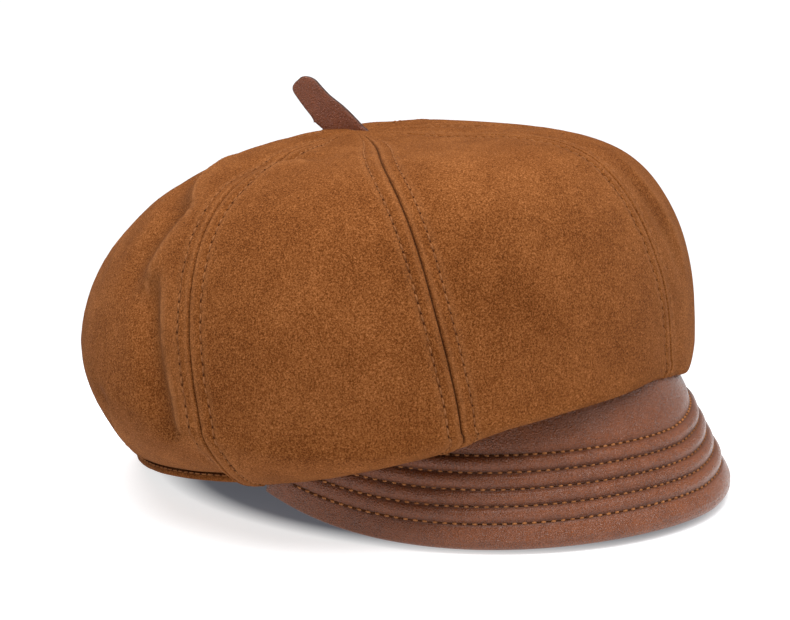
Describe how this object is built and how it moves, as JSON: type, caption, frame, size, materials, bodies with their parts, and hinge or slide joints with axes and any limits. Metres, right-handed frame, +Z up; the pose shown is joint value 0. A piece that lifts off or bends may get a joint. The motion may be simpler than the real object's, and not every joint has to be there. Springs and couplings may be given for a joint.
{
  "type": "newsboy cap",
  "caption": "Soft newsboy cap with a puffy gored crown, a stitched arched bill, a folded tab on top, a lining and a sweatband.",
  "frame": {"origin": "on the surface the cap stands on, under the middle of its length and width", "axes": "+Z up, -Y to the front (the bill), -X to the wearer's right"},
  "size_m": [0.2608, 0.2485, 0.1522],
  "materials": {
    "suede": "brushed suede nap",
    "lining": "smooth woven lining",
    "tape": "woven tape",
    "suede_thread": "twisted thread",
    "sweatband": "smooth soft leather",
    "brim_leather": "smooth grained leather, satin",
    "padding": "thin foam",
    "board": "flexible board",
    "brim_thread": "thick twisted thread",
    "tab_leather": "smooth leather, satin"
  },
  "bodies": {
    "crown": {"gore_1": "suede", "gore_2": "suede", "gore_3": "suede", "gore_4": "suede", "gore_5": "suede", "gore_6": "suede", "gore_7": "suede", "gore_8": "suede", "lining_1": "lining", "lining_2": "lining", "lining_3": "lining", "lining_4": "lining", "lining_5": "lining", "lining_6": "lining", "lining_7": "lining", "lining_8": "lining", "seam_tapes": "tape", "gore_stitching": "suede_thread", "tab_patch": "tape", "hem_band": "suede", "hem_stitching": "suede_thread", "sweatband": "sweatband", "sweatband_stitching": "suede_thread"},
    "brim": {"brim_top_cover": "brim_leather", "brim_padding": "padding", "brim_board": "board", "brim_under_cover": "brim_leather", "brim_stitching": "brim_thread"},
    "tab": {"crown_tab": "tab_leather"}
  },
  "joints": [
    {"name": "brim_flex", "type": "hinge", "parent": "crown", "child": "brim", "pos_m": [0, 0.0148, 0.0165], "axis": [1, 0, 0], "range_deg": [0, 8], "stiffness_Nm_per_rad": 1.5},
    {"name": "tab_flex", "type": "hinge", "parent": "crown", "child": "tab", "pos_m": [0, 0.0348, 0.132], "axis": [0, 1, 0], "range_deg": [-30, 30], "stiffness_Nm_per_rad": 0.02}
  ]
}
